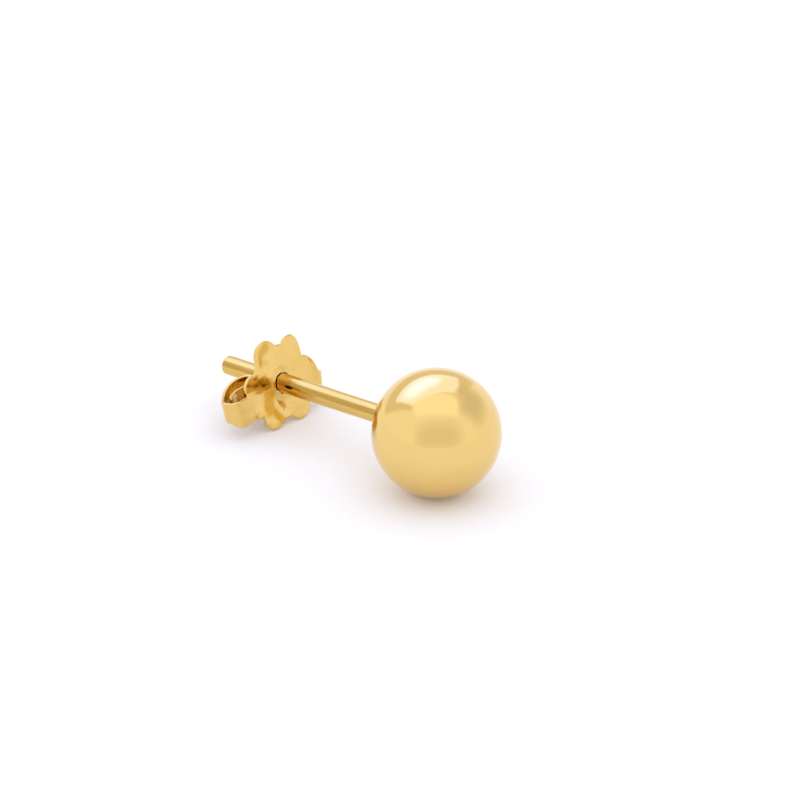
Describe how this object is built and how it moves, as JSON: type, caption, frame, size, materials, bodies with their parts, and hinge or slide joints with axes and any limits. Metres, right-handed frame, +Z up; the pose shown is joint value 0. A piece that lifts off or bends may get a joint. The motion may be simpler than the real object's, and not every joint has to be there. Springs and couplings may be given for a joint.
{
  "type": "ball stud earring with scroll back",
  "caption": "Polished ball on a straight ear post with a petalled scroll back that slides on the post.",
  "frame": {"origin": "centre of the bounding box's base, on the surface that the earring lies on", "axes": "+X along the lying post towards the ball, +Z up"},
  "size_m": [0.0138, 0.0054, 0.005],
  "materials": {
    "polished_gold": "mirror-polished yellow gold",
    "stamped_gold": "stamped and tumbled yellow gold sheet"
  },
  "bodies": {
    "stud": {"ball_on_post": "polished_gold"},
    "back": {"scroll_back": "stamped_gold"}
  },
  "joints": [
    {"name": "back_slide", "type": "slide", "parent": "stud", "child": "back", "axis": [0.995, 0, 0.0996], "range_m": [-0.0033, 0.0052]}
  ]
}
